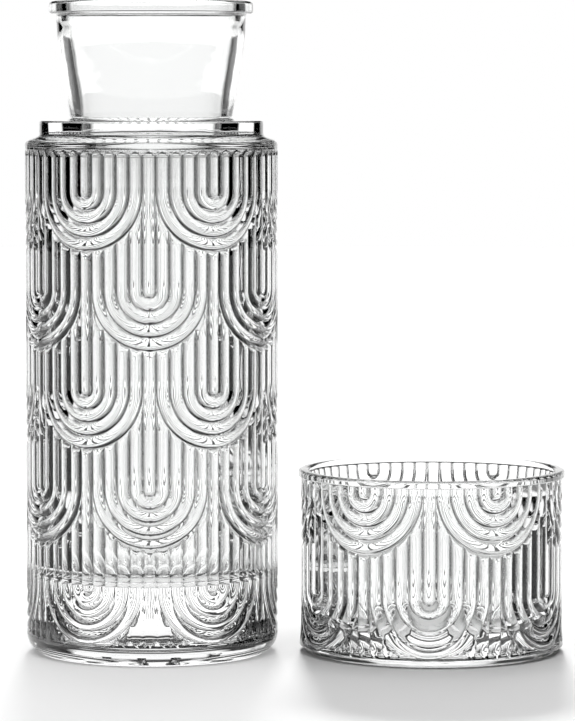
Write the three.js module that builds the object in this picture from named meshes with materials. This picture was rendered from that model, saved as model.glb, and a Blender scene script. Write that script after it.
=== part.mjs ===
// A bedside water carafe and its matching tumbler, two pieces of clear pressed glass.
// Millimetres, +Z up. Both pieces stand on z = 0, and the origin is the middle of the set's footprint.

import * as THREE from 'three';

// Carafe
const BODY_RADIUS = 40;            // crest of the ribs
const WALL = 4.5;                  // body wall, ribs included
const FOOT_RING_INNER = 33.5;
const FOOT_RING_OUTER = 36.2;
const PUNT = 1.0;                  // how far the underside is raised inside the foot ring
const PUNT_EDGE = 2;               // width of the slope from the foot ring up to the punt
const FOOT_TOP = 5.4;              // top of the sloping foot edge
const FLOOR = 23.8;                // inside floor, over a thick solid base
const FLOOR_ROUND = 5;             // reach of the rounding where the wall meets the floor
const SHOULDER = 162;
const COLLAR_RADIUS = 35.4;
const COLLAR_BASE = 163.9;
const COLLAR_TOP = 168.5;
const NECK_WAIST = 25.8;           // neck outside, just above the collar
const NECK_TOP_RADIUS = 29.8;
const NECK_FLARE_TOP = 195.5;
const NECK_BORE = 22.0;            // narrowest inside radius
const NECK_BORE_BASE = 163.4;      // the bore runs straight down through the collar
const NECK_BORE_TAPER_END = 175;
const NECK_BORE_TOP = 26.0;        // inside radius where the taper meets the mouth's step
const INNER_SHOULDER = 160.3;      // where the inside of the body turns in towards the neck
const SHOULDER_ROUND = 3;
const MOUTH_RADIUS = 26.9;
const MOUTH_STEP = 198.5;          // small step inside the mouth
const STEP_BEVEL = 1.2;            // height of the step's slope
const LIP_RADIUS = 32.2;
const LIP_BASE = 202;
const CARAFE_HEIGHT = 206;
const LIP_ROUND = 1.3;

// Tumbler
const CUP_RADIUS = 41.6;
const CUP_WALL = 3.6;
const CUP_FOOT_RADIUS = 42.0;      // the wall swells a little just above the foot
const CUP_FOOT_TOP = 2.6;
const CUP_RING_INNER = 36.4;
const CUP_RING_OUTER = 39.6;
const CUP_FLOOR = 9.2;
const CUP_FLOOR_ROUND = 5.5;
const CUP_RIM_RADIUS = 42.4;
const CUP_RIM_BASE = 55.6;
const CUP_RIM_WALL = 3.2;
const CUP_RIM_ROUND = 1.1;
const CUP_HEIGHT = 58;

// The set
const AXIS_SPACING = 88.9;         // carafe axis to tumbler axis

// Ribs and mesh
const RIBS = 60;                   // vertical ribs around each piece
const RIB_DEPTH = 0.8;             // crest to valley
const RIB_RAMP = 2;                // height over which a rib rises from the smooth edges
const SEGMENTS = 2 * RIBS;         // one meridian on each crest and one in each valley
const CORNER_STEPS = 2;

const LEFT = -BODY_RADIUS;
const RIGHT = AXIS_SPACING + CUP_RIM_RADIUS;
const MIDDLE = (LEFT + RIGHT) / 2;

// Lathe points from corners given as [radius, height, how far the rounding reaches from the corner].
function roundedProfile(corners) {
  const points = corners.map(([r, z]) => new THREE.Vector2(r, z));
  const path = new THREE.Path();
  path.moveTo(points[0].x, points[0].y);
  for (let i = 1; i < corners.length - 1; i++) {
    const corner = points[i];
    const reach = corners[i][2] || 0;
    const before = corner.clone().sub(points[i - 1]).setLength(reach);
    const after = points[i + 1].clone().sub(corner).setLength(reach);
    const start = corner.clone().sub(before);
    const end = corner.clone().add(after);
    path.lineTo(start.x, start.y);
    if (reach > 0) path.quadraticCurveTo(corner.x, corner.y, end.x, end.y);
  }
  const last = points[points.length - 1];
  path.lineTo(last.x, last.y);
  return path.getPoints(CORNER_STEPS);
}

// Spin a profile about the upright axis, then pull every second meridian of the outer wall in
// between two heights, so the wall stands out in vertical ribs.
function ribbedVessel(corners, wallInside, ribBase, ribTop) {
  const profile = roundedProfile(corners);
  const geometry = new THREE.LatheGeometry(profile, SEGMENTS);
  const place = geometry.attributes.position;
  for (let k = 0; k < place.count; k++) {
    const meridian = Math.floor(k / profile.length);
    const radius = Math.hypot(place.getX(k), place.getZ(k));
    const height = place.getY(k);
    const onWall = radius > wallInside && height > ribBase && height < ribTop;
    if (meridian % 2 === 0 || !onWall) continue;
    const shrink = (radius - RIB_DEPTH) / radius;
    place.setX(k, place.getX(k) * shrink);
    place.setZ(k, place.getZ(k) * shrink);
  }
  geometry.computeVertexNormals();
  geometry.rotateX(Math.PI / 2);
  return geometry;
}

function clearGlass() {
  return new THREE.MeshStandardMaterial({
    color: 0xeef3f2,
    roughness: 0.05,
    metalness: 0,
    transparent: true,
    opacity: 0.35,
  });
}

function carafe() {
  const inside = BODY_RADIUS - WALL;
  const corners = [
    [0, PUNT],
    [FOOT_RING_INNER - PUNT_EDGE, PUNT],
    [FOOT_RING_INNER, 0],
    [FOOT_RING_OUTER, 0],
    [BODY_RADIUS, FOOT_TOP],
    [BODY_RADIUS, FOOT_TOP + RIB_RAMP],
    [BODY_RADIUS, SHOULDER - RIB_RAMP],
    [BODY_RADIUS, SHOULDER],
    [COLLAR_RADIUS, COLLAR_BASE],
    [COLLAR_RADIUS, COLLAR_TOP],
    [NECK_WAIST, COLLAR_TOP],
    [NECK_TOP_RADIUS, NECK_FLARE_TOP],
    [NECK_TOP_RADIUS, LIP_BASE],
    [LIP_RADIUS, LIP_BASE],
    [LIP_RADIUS, CARAFE_HEIGHT, LIP_ROUND],
    [MOUTH_RADIUS, CARAFE_HEIGHT, LIP_ROUND],
    [MOUTH_RADIUS, MOUTH_STEP],
    [NECK_BORE_TOP, MOUTH_STEP - STEP_BEVEL],
    [NECK_BORE, NECK_BORE_TAPER_END],
    [NECK_BORE, NECK_BORE_BASE],
    [inside, INNER_SHOULDER, SHOULDER_ROUND],
    [inside, FLOOR, FLOOR_ROUND],
    [0, FLOOR],
  ];
  const geometry = ribbedVessel(corners, inside + WALL / 4, FOOT_TOP, SHOULDER);
  const mesh = new THREE.Mesh(geometry, clearGlass());
  mesh.name = 'carafe';
  mesh.position.x = -MIDDLE;
  return mesh;
}

function tumbler() {
  const inside = CUP_RADIUS - CUP_WALL;
  const corners = [
    [0, PUNT],
    [CUP_RING_INNER - PUNT_EDGE, PUNT],
    [CUP_RING_INNER, 0],
    [CUP_RING_OUTER, 0],
    [CUP_FOOT_RADIUS, CUP_FOOT_TOP],
    [CUP_RADIUS, CUP_FOOT_TOP + RIB_RAMP],
    [CUP_RADIUS, CUP_RIM_BASE - RIB_RAMP],
    [CUP_RIM_RADIUS, CUP_RIM_BASE],
    [CUP_RIM_RADIUS, CUP_HEIGHT, CUP_RIM_ROUND],
    [CUP_RIM_RADIUS - CUP_RIM_WALL, CUP_HEIGHT, CUP_RIM_ROUND],
    [inside, CUP_RIM_BASE - RIB_RAMP],
    [inside, CUP_FLOOR, CUP_FLOOR_ROUND],
    [0, CUP_FLOOR],
  ];
  const geometry = ribbedVessel(corners, inside + CUP_WALL / 4, CUP_FOOT_TOP, CUP_RIM_BASE);
  const mesh = new THREE.Mesh(geometry, clearGlass());
  mesh.name = 'tumbler';
  mesh.position.x = AXIS_SPACING - MIDDLE;
  return mesh;
}

const set = new THREE.Group();
set.add(carafe(), tumbler());

export default set;
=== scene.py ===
"""A clear pressed-glass bedside carafe with its matching tumbler.

Both pieces are closed glass meshes that stand for the two CAD nodes. Their outsides carry the pressed
pattern: upright ribs, crossed by rows of nested arches, each row set half a motif round from the next.
Lengths are in metres, and MM turns a dimension in millimetres into metres.
"""

import math

import bpy
import numpy as np
from mathutils import Matrix, Vector
from mathutils.geometry import delaunay_2d_cdt


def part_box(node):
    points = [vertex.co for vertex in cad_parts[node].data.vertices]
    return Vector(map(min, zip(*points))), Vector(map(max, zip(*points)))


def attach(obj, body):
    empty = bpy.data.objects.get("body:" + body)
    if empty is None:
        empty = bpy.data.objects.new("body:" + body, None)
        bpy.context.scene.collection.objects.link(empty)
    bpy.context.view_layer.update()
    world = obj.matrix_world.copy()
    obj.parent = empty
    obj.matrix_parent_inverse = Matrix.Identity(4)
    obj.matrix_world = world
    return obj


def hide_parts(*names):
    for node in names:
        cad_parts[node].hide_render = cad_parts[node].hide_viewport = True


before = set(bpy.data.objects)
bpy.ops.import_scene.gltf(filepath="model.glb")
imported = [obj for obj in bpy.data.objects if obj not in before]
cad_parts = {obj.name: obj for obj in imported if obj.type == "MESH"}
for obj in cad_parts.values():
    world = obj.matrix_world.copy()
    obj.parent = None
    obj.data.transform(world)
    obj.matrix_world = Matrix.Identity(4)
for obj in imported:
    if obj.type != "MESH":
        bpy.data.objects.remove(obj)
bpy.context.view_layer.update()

MM = 0.001

# The pressed pattern. Distances across it are counted in ribs.
RIBS = 60
RIB_ANGLE = math.tau / RIBS
MOTIF_RIBS = 10          # from one arch motif to the next
ARCH_REACH = 4.5         # from a motif's middle to the valley outside its outermost arch
RIB_DEPTH = 0.95 * MM    # crest to valley
RIB_SQUARENESS = 2.8     # 2 would be a parabola, and more is flatter on top
RIB_STEPS = (0.0, 0.2, 0.36, 0.5, 0.64, 0.8)     # columns of vertices, from one crest to the next
COLUMNS = np.concatenate([np.array(RIB_STEPS) + k for k in range(RIBS)])
COLUMN_ANGLES = COLUMNS * RIB_ANGLE

# Which way the first motif of each vessel faces, in degrees. -90 is straight at the viewer.
CARAFE_FACES = -89.1
TUMBLER_FACES = -93.0

# The mesh of one motif's arches, in ribs
HALF_MOTIF = MOTIF_RIBS // 2
ARC_STEP = 0.2
COLUMN_STEP = 0.4
SIDE_POINTS = 14
ROW_DROP = 5.1           # how far a row of arches' mesh runs below their centre
END_ROWS = np.array([0, 0.14, 0.32, 0.5])     # rows of vertices, up from where a rib ends
LEAST_GAP = 0.09         # between a loose point and its neighbours
EDGE_GAP = 0.08          # between a loose point and the cell's sides
NEAR = 1e-4

# The glass
GLASS_TINT = (0.985, 0.99, 0.988, 1)
GLASS_IOR = 1.51
WAVES_PER_METRE = 70
WAVE_HEIGHT = 0.1 * MM
HAZE_PER_METRE = 150
HAZE_PATCHES = (0.4, 0.75)     # the noise levels where a patch of haze begins and is full
HAZE_ROUGHNESS = 0.035

# The studio round the set, as the glass sees it: stops of (degrees, brightness). Straight behind the
# set is an upright window, WINDOW wide and with HIGH running up it. LOW is a band all round, low down.
WINDOW = ((0, 1.0), (24, 1.0), (30, 0.0), (180, 0.0))
HIGH = ((-90, 1.15), (-1.5, 1.15), (-0.9, 0.84), (8, 0.84), (12, 0.03), (20, 0.03), (24, 0.9), (90, 0.9))
LOW = ((-90, 0.8), (-52, 0.7), (-44, 0.15), (-26, 0.15), (-19, 0.85), (-12.3, 0.85), (-10.5, 0), (90, 0))
SKY_STRENGTH = 1.25
FLOOR_REACH = 3
FLOOR_SHADE = (0.9, 0.9, 0.9, 1)
FLOOR_PAINTED_LIGHT = 0.5               # painted light: the floor under the vessels glows in place of the light that the glass lets through onto it, so that their feet stay bright
WHITE = (1, 1, 1, 1)

# The camera, with its focal length counted in heights of the picture
CAMERA_FOCAL = 5.283
CAMERA_PLACE = (-0.0026, -1.207, 0.180)
CAMERA_AIM = (-0.0026, 0.0, 0.0924)


# ---------------------------------------------------------------- outlines


def outline_stations(corners, turn_step=math.radians(12)):
    """Turns corners of (radius, height, how far its rounding reaches) into stations along the outline,
    each a point with the outward normals just before and just after it."""
    points = [Vector(c[:2]) for c in corners]
    ways = [(b - a).normalized() for a, b in zip(points, points[1:])]
    facing = [Vector((w.y, -w.x)) for w in ways]
    stations = [(points[0], facing[0], facing[0])]
    for corner, point, w_in, w_out, n_in, n_out in zip(
        corners[1:], points[1:], ways, ways[1:], facing, facing[1:]
    ):
        turn = math.atan2(n_in.x * n_out.y - n_in.y * n_out.x, n_in.dot(n_out))
        reach = corner[2] if len(corner) > 2 else 0
        if reach == 0 or abs(turn) < 1e-5:
            stations.append((point, n_in, n_out))
            continue
        radius = reach / math.tan(turn / 2)
        centre = point - w_in * reach - n_in * radius
        steps = max(2, math.ceil(abs(turn) / turn_step))
        for k in range(steps + 1):
            c, s = math.cos(turn * k / steps), math.sin(turn * k / steps)
            n = Vector((n_in.x * c - n_in.y * s, n_in.x * s + n_in.y * c))
            stations.append((centre + n * radius, n, n))
    stations.append((points[-1], facing[-1], facing[-1]))
    return stations


def dome(edge_radius, edge_height, rise, rings=4):
    """Corners of a shallow dome, from the axis out to its edge."""
    corners = [(0, edge_height + rise)]
    for k in range(1, rings):
        r = edge_radius * k / rings
        height = edge_height + rise * (1 - (k / rings) ** 2)
        corners.append((r, height, 0.35 * edge_radius / rings))
    return corners


# ---------------------------------------------------------------- the pressed pattern


class Pattern:
    """The ribs and arches pressed into one vessel's outside. across is an angle counted in ribs from
    the first motif, and up is a height."""

    def __init__(self, crest, girth, rise, rows, bottom, top, closed_top):
        self.crest = crest            # the radius of the ribs' crests at a height
        self.pitch = girth * RIB_ANGLE
        self.rise = rise              # height of one rib where the arches pass under their middle
        self.rows = rows              # (height of the arches' centre, ribs that the row is turned by)
        self.bottom = bottom
        self.top = top
        self.closed_top = closed_top  # valleys end in a round under a flush edge, and not at a rim

    def rib(self, off):
        """Height of a rib's back over the valleys, off ribs from its crest. The back is broad, and
        falls steeply into the valleys."""
        across = np.minimum(np.abs(off), 0.5) * 2
        return RIB_DEPTH * (1 - across**RIB_SQUARENESS)

    def relief(self, across, up):
        """Height of the surface over the valleys. Each row of arches covers the ribs behind it, and a
        rib that starts under an arch, or at the pattern's end, starts with a round."""
        height = self.rib(across - np.round(across))
        for centre, turned in self.rows:
            du = (across - turned + HALF_MOTIF) % MOTIF_RIBS - HALF_MOTIF
            dv = (up - centre) / self.rise
            out = np.hypot(du, dv)
            arch = (dv < 0) & (out < ARCH_REACH)
            height = np.where(arch, self.rib(out - np.round(out)), height)
            skirt = (dv < 0) & (out >= ARCH_REACH) & (out < ARCH_REACH + 0.5)
            start = self.rib(ARCH_REACH + 0.5 - out)
            height = np.where(skirt, np.minimum(height, start), height)
        ends = up - self.bottom
        if self.closed_top:
            ends = np.minimum(ends, self.top - up)
        ends = np.maximum(ends, 0) / self.pitch
        return np.where(ends < 0.5, np.maximum(height, self.rib(ends)), height)

    def place(self, across, up):
        """The surface's points, with the vessel's axis at the origin."""
        radius = self.crest(up) - RIB_DEPTH + self.relief(across, up)
        angle = across * RIB_ANGLE
        return np.stack([radius * np.cos(angle), radius * np.sin(angle), up], -1)

    def normal(self, across, up):
        """The surface's outward normal, from how it runs a hair's breadth either side."""
        du, dv = 0.002, 0.002 * self.pitch
        along = self.place(across + du, up) - self.place(across - du, up)
        rising = self.place(across, up + dv) - self.place(across, up - dv)
        n = np.cross(along, rising)
        return n / np.linalg.norm(n, axis=-1, keepdims=True)


class Flat:
    """Points (across, up) in ribs for a flat mesh, and chains of edges that the mesh has to follow."""

    def __init__(self):
        self.points, self.chains = [], []

    def chain(self, points):
        first = len(self.points)
        self.points.extend(points)
        self.chains.extend((i, i + 1) for i in range(first, len(self.points) - 1))

    def fill(self, points, inside):
        """Adds loose points that are inside and not crowded by the points there already."""
        for p in points:
            if inside(p) and np.hypot(*(np.array(self.points) - p).T).min() > LEAST_GAP:
                self.points.append(p)


def cell_edges(flat, columns, drop):
    """The cell's four sides. Left and right have points at the same heights."""
    heights = np.linspace(0, -drop, SIDE_POINTS)
    for u in (-HALF_MOTIF, HALF_MOTIF):
        flat.chain([(u, v) for v in heights])
    for v in (0.0, -drop):
        flat.chain([(u, v) for u in columns])


def cell_valleys(flat, drop):
    """The valleys between the arches, and the valleys of the upright ribs that start below them."""
    for valley in np.arange(0.5, ARCH_REACH + 0.1):
        count = max(5, math.ceil(math.pi * valley / ARC_STEP) + 1)
        angles = np.linspace(0, math.pi, count)
        if valley == ARCH_REACH:
            starts = np.arccos(np.arange(-ARCH_REACH + 1, ARCH_REACH) / ARCH_REACH)
            apart = np.abs(angles[:, None] - starts[None, :]).min(1)
            angles = np.sort(np.concatenate([angles[apart > 0.3 * ARC_STEP / valley], starts]))
            for u in np.arange(-ARCH_REACH, ARCH_REACH + 0.1):
                start = -math.sqrt(max(0.0, ARCH_REACH**2 - u * u))
                flat.chain([(u, start), (u, -drop)])
        arc = [(valley * math.cos(t), -valley * math.sin(t)) for t in angles]
        flat.chain([p for p in arc if p[1] > -drop])


def cell_backs(columns, drop, rows_below):
    """Loose points on the ribs' backs: rings round the arches' centre, and columns below them."""
    points = []
    rings = [s + k for k in range(HALF_MOTIF) for s in RIB_STEPS if s != 0.5] + [HALF_MOTIF]
    for ring in rings:
        count = max(4, math.ceil(math.pi * ring / ARC_STEP))
        angles = math.pi * np.arange(1, count) / count
        points += [(ring * math.cos(t), -ring * math.sin(t)) for t in angles]
    for u in columns:
        points += [(u, v) for v in rows_below]
        downwards = -np.arange(COLUMN_STEP, drop, COLUMN_STEP)
        points += [(u, v) for v in downwards if math.hypot(u, v) > HALF_MOTIF + 0.1]
    return points


def arch_cell(drop, rows_below):
    """One motif's arches, flat: points (across, up) in ribs and triangles. It spans one motif's width
    and runs from the arches' centre, at 0, down to -drop. Valleys follow edges of the mesh.
    rows_below are extra heights where the surface needs a row of points."""
    steps = {round(s + k, 6) for k in range(-HALF_MOTIF, HALF_MOTIF) for s in RIB_STEPS}
    columns = np.array(sorted(steps | {HALF_MOTIF}))
    flat = Flat()
    cell_edges(flat, columns, drop)
    cell_valleys(flat, drop)

    def well_inside(p):
        return abs(p[0]) < HALF_MOTIF - EDGE_GAP and -drop + EDGE_GAP < p[1] < -EDGE_GAP

    flat.fill(cell_backs(columns, drop, rows_below), well_inside)
    around_it = [(u, v) for u in (-HALF_MOTIF - 1, HALF_MOTIF + 1) for v in (1, -drop - 1)]
    found = delaunay_2d_cdt([Vector(p) for p in flat.points + around_it], flat.chains, [], 0, NEAR)
    points = np.array([tuple(v) for v in found[0]])
    triangles = np.array(found[2])
    across, up = points[triangles].mean(1).T
    inside = (np.abs(across) < HALF_MOTIF - NEAR) & (up < -NEAR) & (up > -drop + NEAR)
    used, renumbered = np.unique(triangles[inside], return_inverse=True)
    return points[used], renumbered.reshape(-1, 3)


# ---------------------------------------------------------------- meshes


class Skin:
    """Collects a vessel's points and faces, with a normal for each corner of each face."""

    def __init__(self):
        self.points, self.faces, self.normals = [], [], []
        self.count = 0

    def add_points(self, points):
        self.points.append(points)
        self.count += len(points)
        return np.arange(self.count - len(points), self.count)

    def add_faces(self, faces, normals):
        self.faces += faces.tolist()
        self.normals.append(normals.reshape(-1, 3))

    def join_rings(self, low, high, low_normals, high_normals):
        """Quads from one ring of columns to the next one along the outline."""
        faces = np.stack([low, np.roll(low, -1), np.roll(high, -1), high], -1)
        after = [np.roll(n, -1, 0) for n in (low_normals, high_normals)]
        self.add_faces(faces, np.stack([low_normals, after[0], after[1], high_normals], 1))

    def build(self, name, place):
        mesh = bpy.data.meshes.new(name)
        mesh.from_pydata(np.concatenate(self.points).tolist(), [], self.faces)
        mesh.polygons.foreach_set("use_smooth", [True] * len(mesh.polygons))
        mesh.normals_split_custom_set(np.concatenate(self.normals).tolist())
        mesh.transform(place)
        piece = bpy.data.objects.new(name, mesh)
        bpy.context.collection.objects.link(piece)
        return piece


def around(flat):
    """A (radial, up) vector turned to each column."""
    up = np.full(len(COLUMNS), flat.y)
    return np.stack([flat.x * np.cos(COLUMN_ANGLES), flat.x * np.sin(COLUMN_ANGLES), up], -1)


def add_turned(skin, stations, start=None, end=None):
    """Adds the turned surface along stations. start and end are rings that exist already."""
    ring = start
    for k, (point, n_in, n_out) in enumerate(stations):
        last = k == len(stations) - 1
        if point.x < 1e-6:
            pole = skin.add_points(np.array([[0, 0, point.y]]))
            fresh = np.repeat(pole, len(COLUMNS))
        elif last and end is not None:
            fresh = end
        elif k == 0 and start is not None:
            fresh = start
        else:
            fresh = skin.add_points(around(point))
        if k > 0:
            add_band(skin, ring, fresh, around(leaving), around(n_in))
        ring, leaving = fresh, n_out


def add_band(skin, low, high, low_normals, high_normals):
    """Quads between two rings, or triangles where one of them is a pole."""
    if low[0] != low[1] and high[0] != high[1]:
        skin.join_rings(low, high, low_normals, high_normals)
        return
    low_next, high_next = np.roll(low, -1), np.roll(high, -1)
    after = np.roll(high_normals if low[0] == low[1] else low_normals, -1, 0)
    if low[0] == low[1]:
        upright = np.tile([0.0, 0.0, np.sign(low_normals[0, 2])], (len(low), 1))
        skin.add_faces(np.stack([low, high_next, high], -1), np.stack([upright, after, high_normals], 1))
    else:
        upright = np.tile([0.0, 0.0, np.sign(high_normals[0, 2])], (len(low), 1))
        skin.add_faces(np.stack([low, low_next, high], -1), np.stack([low_normals, after, upright], 1))


def add_pattern(skin, pattern):
    """Adds the patterned wall and returns its lowest and highest rings of vertices."""
    heights = {pattern.bottom, pattern.top}
    if pattern.closed_top:
        heights |= set(pattern.top - END_ROWS * pattern.pitch)
    spans = {}
    for centre, turned in pattern.rows:
        low = max(pattern.bottom, centre - ROW_DROP * pattern.rise)
        spans[low] = (centre, turned)
        heights |= {centre, low}
    heights = sorted(h for h in heights if not any(low < h < spans[low][0] for low in spans))
    rings = {h: skin.add_points(pattern.place(COLUMNS, np.full(len(COLUMNS), h))) for h in heights}
    for low, high in zip(heights, heights[1:]):
        if low in spans:
            add_arches(skin, pattern, rings[low], rings[high], low, *spans[low])
        else:
            add_ribs(skin, pattern, rings[low], rings[high], low, high)
    return rings[heights[0]], rings[heights[-1]]


def corner_normals(pattern, across, up):
    """Normals at faces' corners, each read a little inside its face, so that valleys stay crisp."""
    inward = 0.06
    across = across + inward * (across.mean(1, keepdims=True) - across)
    up = up + inward * (up.mean(1, keepdims=True) - up)
    return pattern.normal(across, up)


def add_ribs(skin, pattern, low_ring, high_ring, low, high):
    """Straight ribs between two heights."""
    ahead = np.append(COLUMNS[1:], RIBS)
    across = np.stack([COLUMNS, ahead, ahead, COLUMNS], 1)
    up = np.tile([low, low, high, high], (len(COLUMNS), 1))
    faces = np.stack([low_ring, np.roll(low_ring, -1), np.roll(high_ring, -1), high_ring], -1)
    skin.add_faces(faces, corner_normals(pattern, across, up))


def ring_slots(across):
    """Which of a ring's vertices each point of a cell's top or bottom side is, from the cell's middle."""
    within = np.round(across % 1 % 0.999999, 6)
    step = np.abs(within[:, None] - np.array(RIB_STEPS)[None, :]).argmin(1)
    return np.floor(across + NEAR).astype(int) * len(RIB_STEPS) + step


def add_arches(skin, pattern, low_ring, high_ring, low, centre, turned):
    """A row of arch motifs all round, between two rings."""
    drop = (centre - low) / pattern.rise
    rows_below = -drop + pattern.pitch / pattern.rise * END_ROWS[1:] if low == pattern.bottom else []
    flat, triangles = arch_cell(drop, rows_below)
    across, up = flat[:, 0], centre + flat[:, 1] * pattern.rise
    top, bottom = flat[:, 1] > -NEAR, flat[:, 1] < -drop + NEAR
    left = (across < -HALF_MOTIF + NEAR) & ~top & ~bottom
    right = (across > HALF_MOTIF - NEAR) & ~top & ~bottom
    own = ~(top | bottom | right)
    slot = ring_slots(across)
    cells = []
    for k in range(RIBS // MOTIF_RIBS):
        shift = turned + k * MOTIF_RIBS
        index = np.zeros(len(flat), int)
        index[own] = skin.add_points(pattern.place(across[own] + shift, up[own]))
        start = shift * len(RIB_STEPS)
        index[top] = high_ring[(slot[top] + start) % len(COLUMNS)]
        index[bottom] = low_ring[(slot[bottom] + start) % len(COLUMNS)]
        cells.append((across + shift, index))
    rising_left, rising_right = (np.flatnonzero(side)[np.argsort(up[side])] for side in (left, right))
    for k, (_, index) in enumerate(cells):
        index[rising_right] = cells[(k + 1) % len(cells)][1][rising_left]
    for turned_across, index in cells:
        corners = corner_normals(pattern, turned_across[triangles], up[triangles])
        skin.add_faces(index[triangles], corners)


def vessel(name, node, faces, pattern, below, above):
    """A closed glass vessel on a CAD node's axis, its first motif turned to face that many degrees.
    below runs from the axis to the pattern's foot, and above from the pattern's top over the lip and
    down the inside to the axis."""
    skin = Skin()
    low_ring, high_ring = add_pattern(skin, pattern)
    add_turned(skin, outline_stations(below), end=low_ring)
    add_turned(skin, outline_stations(above), start=high_ring)
    low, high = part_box(node)
    axis = (low + high) / 2
    axis.z = low.z
    return skin.build(name, Matrix.Translation(axis) @ Matrix.Rotation(math.radians(faces), 4, "Z"))


# ---------------------------------------------------------------- the carafe and the tumbler


def carafe():
    """A cylinder on a sloping foot, with a stepped collar and a flared neck with a lip. The base under
    its inside floor is thick."""
    low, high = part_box("carafe")
    radius, height = (high.x - low.x) / 2, high.z - low.z
    inside, collar, waist, lip = radius - 4.5 * MM, 35.4 * MM, 25.5 * MM, 32.2 * MM
    foot, floor, shoulder = 5.4 * MM, 23.8 * MM, 162 * MM
    lowest_row, row_spacing = 24.4 * MM, 30.55 * MM
    pattern = Pattern(
        crest=lambda up: radius + 0 * up,
        girth=radius,
        rise=4.05 * MM,
        rows=[(lowest_row + row_spacing * k, HALF_MOTIF * (1 - k % 2)) for k in range(5)],
        bottom=foot + 0.6 * MM,
        top=shoulder - 2.0 * MM,
        closed_top=True,
    )
    below = dome(31.5 * MM, 1.0 * MM, 1.6 * MM) + [
        (31.5 * MM, 1.0 * MM, 1.0 * MM),
        (33.5 * MM, 0, 0.7 * MM),
        (35.8 * MM, 0, 0.7 * MM),
        (38.8 * MM, 1.8 * MM, 1.6 * MM),
        (radius, foot - 0.6 * MM, 1.3 * MM),
        (radius, pattern.bottom),
    ]
    above = [
        (radius, pattern.top),
        (radius, shoulder, 1.3 * MM),
        (collar, 163.9 * MM, 0.5 * MM),
        (collar, 168.5 * MM, 0.7 * MM),
        (waist, 168.5 * MM, 1.6 * MM),
        (29.8 * MM, 195.5 * MM, 4 * MM),
        (29.9 * MM, height - 4 * MM, 0.6 * MM),
        (lip, height - 4 * MM, 0.9 * MM),
        (lip, height, 1.2 * MM),
        (26.9 * MM, height, 1.2 * MM),
        (26.8 * MM, 199.6 * MM, 1.6 * MM),
        (26.0 * MM, 196.0 * MM, 1.8 * MM),
        (22.6 * MM, 175 * MM, 3 * MM),
        (22.1 * MM, 163.4 * MM, 1.2 * MM),
        (inside, 160.3 * MM, 3 * MM),
        (inside, floor, 5 * MM),
    ] + dome(30 * MM, floor, 1.2 * MM)[::-1]
    return vessel("carafe_glass", "carafe", CARAFE_FACES, pattern, below, above)


def tumbler():
    """A low cup with ribs up to a plain rim that stands out a little."""
    low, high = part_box("tumbler")
    rim, height = (high.x - low.x) / 2, high.z - low.z
    radius = rim - 0.8 * MM
    inside = radius - 3.6 * MM
    rim_base, floor = height - 2.4 * MM, 9.2 * MM

    def crest(up):
        """The wall swells a little over its foot."""
        low_down = np.clip(1 - up / (9 * MM), 0, 1)
        return radius + 0.5 * MM * low_down * low_down * (3 - 2 * low_down)

    pattern = Pattern(
        crest=crest,
        girth=radius,
        rise=4.22 * MM,
        rows=[(21.3 * MM, 0), (53.5 * MM, HALF_MOTIF)],
        bottom=2.4 * MM,
        top=rim_base,
        closed_top=False,
    )
    foot = float(crest(pattern.bottom))
    below = dome(34 * MM, 0.8 * MM, 1.2 * MM) + [
        (34.4 * MM, 0.8 * MM, 0.8 * MM),
        (36.4 * MM, 0, 0.7 * MM),
        (foot - 2.6 * MM, 0, 1.2 * MM),
        (foot, 2.0 * MM, 0.3 * MM),
        (foot, pattern.bottom),
    ]
    above = [
        (radius - 0.4 * MM, pattern.top),
        (rim, rim_base, 0.5 * MM),
        (rim, height, 1.0 * MM),
        (rim - 3.2 * MM, height, 1.0 * MM),
        (inside, rim_base - 3 * MM, 1.5 * MM),
        (inside, floor, 5.5 * MM),
    ] + dome(32 * MM, floor, 0.8 * MM)[::-1]
    return vessel("tumbler_glass", "tumbler", TUMBLER_FACES, pattern, below, above)


# ---------------------------------------------------------------- material


def node_of(tree, kind, **settings):
    """A new shader node with some of its input sockets set."""
    node = tree.nodes.new(kind)
    for name, value in settings.items():
        node.inputs[name.replace("_", " ")].default_value = value
    return node


def glass(name):
    """Clear fire-polished glass: a slow waviness left by the mould, and faint patches of haze."""
    material = bpy.data.materials.new(name)
    material.use_nodes = True
    tree = material.node_tree
    shader = tree.nodes["Principled BSDF"]
    shader.inputs["Base Color"].default_value = GLASS_TINT
    shader.inputs["IOR"].default_value = GLASS_IOR
    shader.inputs["Transmission Weight"].default_value = 1.0
    where = tree.nodes.new("ShaderNodeTexCoord").outputs["Object"]
    waves = node_of(tree, "ShaderNodeTexNoise", Scale=WAVES_PER_METRE, Detail=2)
    bump = node_of(tree, "ShaderNodeBump", Strength=1.0, Distance=WAVE_HEIGHT)
    haze = node_of(tree, "ShaderNodeTexNoise", Scale=HAZE_PER_METRE, Detail=4)
    roughness = node_of(
        tree,
        "ShaderNodeMapRange",
        From_Min=HAZE_PATCHES[0],
        From_Max=HAZE_PATCHES[1],
        To_Min=0.0,
        To_Max=HAZE_ROUGHNESS,
    )
    tree.links.new(where, waves.inputs["Vector"])
    tree.links.new(waves.outputs["Fac"], bump.inputs["Height"])
    tree.links.new(bump.outputs["Normal"], shader.inputs["Normal"])
    tree.links.new(where, haze.inputs["Vector"])
    tree.links.new(haze.outputs["Fac"], roughness.inputs["Value"])
    tree.links.new(roughness.outputs["Result"], shader.inputs["Roughness"])
    return material


# ---------------------------------------------------------------- studio


def ramp(tree, value, stops):
    """A grey ramp with stops of (place from 0 to 1, brightness)."""
    node = tree.nodes.new("ShaderNodeValToRGB")
    tree.links.new(value, node.inputs["Fac"])
    elements = node.color_ramp.elements
    while len(elements) < len(stops):
        elements.new(0.5)
    for element, (place, shade) in zip(elements, stops):
        element.position = place
        element.color = (shade, shade, shade, 1)
    return node.outputs["Color"]


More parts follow.
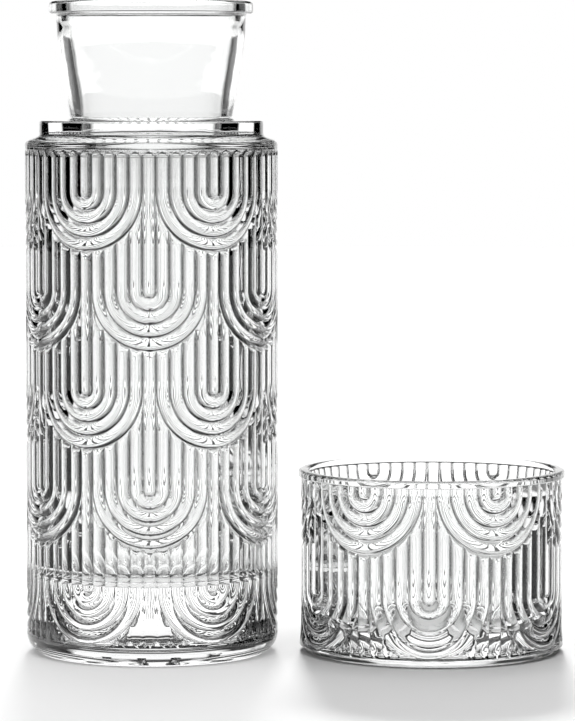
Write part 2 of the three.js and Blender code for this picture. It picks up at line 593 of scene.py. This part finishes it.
def math_node(tree, operation, *values):
    """A maths node fed with numbers and other nodes' outputs."""
    node = tree.nodes.new("ShaderNodeMath")
    node.operation = operation
    for socket, value in zip(node.inputs, values):
        if isinstance(value, (int, float)):
            socket.default_value = value
        else:
            tree.links.new(value, socket)
    return node.outputs[0]


def add_sky():
    """The surroundings: plain white to the camera. The glass sees the window and the low band."""
    world = bpy.data.worlds.new("studio")
    bpy.context.scene.world = world
    world.use_nodes = True
    tree = world.node_tree
    way = tree.nodes.new("ShaderNodeTexCoord")
    parts = tree.nodes.new("ShaderNodeSeparateXYZ")
    tree.links.new(way.outputs["Generated"], parts.inputs[0])
    turn = math_node(tree, "ARCTAN2", parts.outputs["X"], parts.outputs["Y"])
    turn_share = math_node(tree, "DIVIDE", math_node(tree, "ABSOLUTE", turn), math.pi)
    rise = math_node(tree, "ARCSINE", parts.outputs["Z"])
    rise_share = math_node(tree, "MULTIPLY_ADD", rise, 1 / math.pi, 0.5)
    across = ramp(tree, turn_share, [(a / 180, v) for a, v in WINDOW])
    high = ramp(tree, rise_share, [((a + 90) / 180, v) for a, v in HIGH])
    low = ramp(tree, rise_share, [((a + 90) / 180, v) for a, v in LOW])
    glow = math_node(tree, "MAXIMUM", low, math_node(tree, "MULTIPLY", across, high))
    glow = math_node(tree, "MULTIPLY", glow, SKY_STRENGTH)
    seen = tree.nodes.new("ShaderNodeLightPath").outputs["Is Camera Ray"]
    unseen = math_node(tree, "SUBTRACT", 1.0, seen)
    back = tree.nodes["Background"]
    back.inputs["Color"].default_value = WHITE
    tree.links.new(math_node(tree, "MULTIPLY_ADD", glow, unseen, seen), back.inputs["Strength"])


def floor_material(name, glow):
    """Matt pale grey that also glows a little, if glow is over 0: painted light, in place of the light
    that the glass lets through.
    """
    material = bpy.data.materials.new(name)
    material.use_nodes = True
    shader = material.node_tree.nodes["Principled BSDF"]
    shader.inputs["Base Color"].default_value = FLOOR_SHADE
    shader.inputs["Roughness"].default_value = 0.8
    shader.inputs["Emission Color"].default_value = WHITE
    shader.inputs["Emission Strength"].default_value = glow
    return material


def disc(name, middle, radius, material):
    """A round piece of the floor."""
    sides = 96
    turns = [math.tau * k / sides for k in range(sides)]
    mesh = bpy.data.meshes.new(name)
    mesh.from_pydata([(radius * math.cos(t), radius * math.sin(t), 0) for t in turns], [], [range(sides)])
    mesh.materials.append(material)
    floor = bpy.data.objects.new(name, mesh)
    floor.location = middle
    bpy.context.collection.objects.link(floor)
    return floor


def add_floor():
    """A wide pale floor that the glass doesn't refract, and under each vessel a patch that glows: painted
    light, in place of the light that the glass lets through onto the floor.
    """
    wide = disc("floor", (0, 0, -0.2 * MM), FLOOR_REACH, floor_material("floor", 0))
    wide.visible_transmission = False
    # painted light: the patches under the vessels glow in place of the light that passes through the
    # glass
    painted_light_floor = floor_material("floor_painted_light", FLOOR_PAINTED_LIGHT)
    for node in ("carafe", "tumbler"):
        low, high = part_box(node)
        middle = ((low.x + high.x) / 2, (low.y + high.y) / 2, -0.1 * MM)
        within_foot = (high.x - low.x) / 2 - 4.5 * MM
        disc("floor_under_" + node, middle, within_foot, painted_light_floor)


def sun(name, rises, bearing, spread, strength):
    """A soft far light, above the horizon by rises and on a bearing from straight behind the set. It
    lights the floor, and the glass doesn't show it."""
    data = bpy.data.lights.new(name, "SUN")
    data.energy = strength
    data.angle = math.radians(spread)
    lamp = bpy.data.objects.new(name, data)
    lamp.rotation_euler = (math.radians(rises - 90), 0, math.radians(bearing))
    lamp.visible_transmission = False
    lamp.visible_glossy = False
    bpy.context.collection.objects.link(lamp)
    return lamp


def add_lamps(tumbler_piece):
    """Light from behind, for shadows towards the camera, and a broad light from above. Only the
    tumbler shadows the last lamp, because its shadow is the darker one."""
    sun("back_light", rises=28, bearing=0, spread=10, strength=2.1)
    sun("fill_light", rises=80, bearing=180, spread=70, strength=1.95)
    lamp = sun("tumbler_light", rises=28, bearing=0, spread=10, strength=2.0)
    blockers = bpy.data.collections.new("tumbler_light_blockers")
    blockers.objects.link(tumbler_piece)
    lamp.light_linking.blocker_collection = blockers


def add_camera():
    """The camera, and a view transform that keeps white at white."""
    data = bpy.data.cameras.new("camera")
    data.sensor_fit = "VERTICAL"
    data.sensor_height = 36
    data.lens = data.sensor_height * CAMERA_FOCAL
    data.clip_end = 200
    eye = bpy.data.objects.new("camera", data)
    eye.location = CAMERA_PLACE
    aim = Vector(CAMERA_AIM) - Vector(CAMERA_PLACE)
    eye.rotation_euler = aim.to_track_quat("-Z", "Y").to_euler()
    bpy.context.collection.objects.link(eye)
    bpy.context.scene.camera = eye
    bpy.context.scene.view_settings.view_transform = "Standard"


def add_piece(make, node):
    """Makes a vessel, gives it its own glass and lets it stand for its CAD node."""
    piece = make()
    piece.data.materials.append(glass(node + "_glass"))
    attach(piece, node)
    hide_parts(node)
    return piece


add_piece(carafe, "carafe")
tumbler_piece = add_piece(tumbler, "tumbler")
add_sky()
add_floor()
add_lamps(tumbler_piece)
add_camera()
